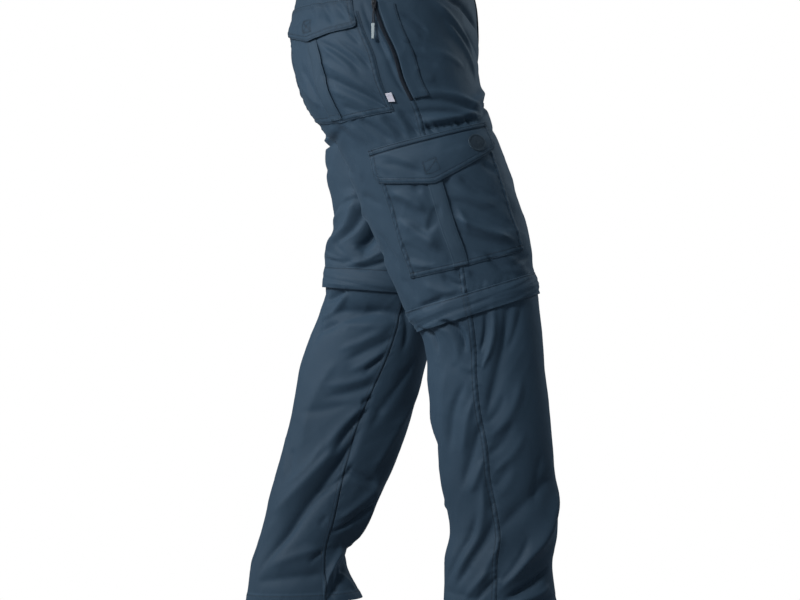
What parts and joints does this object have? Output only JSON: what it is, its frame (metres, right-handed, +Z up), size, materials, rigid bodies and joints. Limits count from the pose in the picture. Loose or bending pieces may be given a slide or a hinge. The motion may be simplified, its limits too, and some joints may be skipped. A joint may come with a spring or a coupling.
{
  "type": "convertible zip-off trousers",
  "caption": "Worn zip-off walking trousers in mid stride: a hollow cloth shell with open waist and hems, flap pockets and bands over the knee zips.",
  "frame": {"origin": "centre of the waistband's top edge, where the wearer holds the trousers up", "axes": "+Z up, +X the way the wearer faces, so the right leg is on the -Y side"},
  "size_m": [0.5065, 0.4035, 1.0544],
  "materials": {
    "cloth": "slate-blue plain weave with a slight sheen",
    "webbing": "strap of the same cloth",
    "zip_tape": "dark woven zip tape with coil teeth",
    "zip_metal": "dark lacquer",
    "cord": "dark braided cord",
    "pull_tip": "pale grey moulded plastic",
    "label": "plain off-white woven label",
    "patch": "plain dark blue embroidered patch",
    "button": "dark moulded plastic"
  },
  "bodies": {
    "trousers": {"front_upper_R": "cloth", "front_upper_L": "cloth", "back_upper_R": "cloth", "back_upper_L": "cloth", "front_lower_R": "cloth", "front_lower_L": "cloth", "back_lower_R": "cloth", "back_lower_L": "cloth", "knee_flap_R": "cloth", "knee_flap_L": "cloth", "cargo_pocket_R": "cloth", "cargo_pocket_L": "cloth", "cargo_flap_R": "cloth", "cargo_flap_L": "cloth", "back_pocket_R": "cloth", "back_pocket_L": "cloth", "back_pocket_flap_R": "cloth", "back_pocket_flap_L": "cloth", "hand_pocket_placket_R": "cloth", "hand_pocket_placket_L": "cloth", "cargo_strap_R": "webbing", "cargo_strap_L": "webbing", "back_pocket_strap_R": "webbing", "back_pocket_strap_L": "webbing", "knee_zip_R": "zip_tape", "knee_zip_L": "zip_tape", "hand_pocket_zip_R": "zip_tape", "hand_pocket_zip_L": "zip_tape", "knee_zip_slider_R": "zip_metal", "knee_zip_slider_L": "zip_metal", "zip_slider_R": "zip_metal", "zip_slider_L": "zip_metal", "waistband": "cloth", "waist_button": "button", "fly_flap": "cloth", "fly_zip": "zip_tape", "back_pocket_label": "label", "round_patch": "patch"},
    "zip_pull_right": {"zip_pull_R": "zip_metal", "pull_cord_R": "cord", "pull_tip_R": "pull_tip"},
    "zip_pull_left": {"zip_pull_L": "zip_metal", "pull_cord_L": "cord", "pull_tip_L": "pull_tip"}
  },
  "joints": [
    {"name": "right_pull_swing", "type": "hinge", "parent": "trousers", "child": "zip_pull_right", "pos_m": [-0.01778, -0.18632, -0.09378], "axis": [-0.9955, 0.0951, 0], "range_deg": [0, 120]},
    {"name": "left_pull_swing", "type": "hinge", "parent": "trousers", "child": "zip_pull_left", "pos_m": [-0.01772, 0.18643, -0.09417], "axis": [0.9955, 0.0946, 0], "range_deg": [0, 120]}
  ]
}
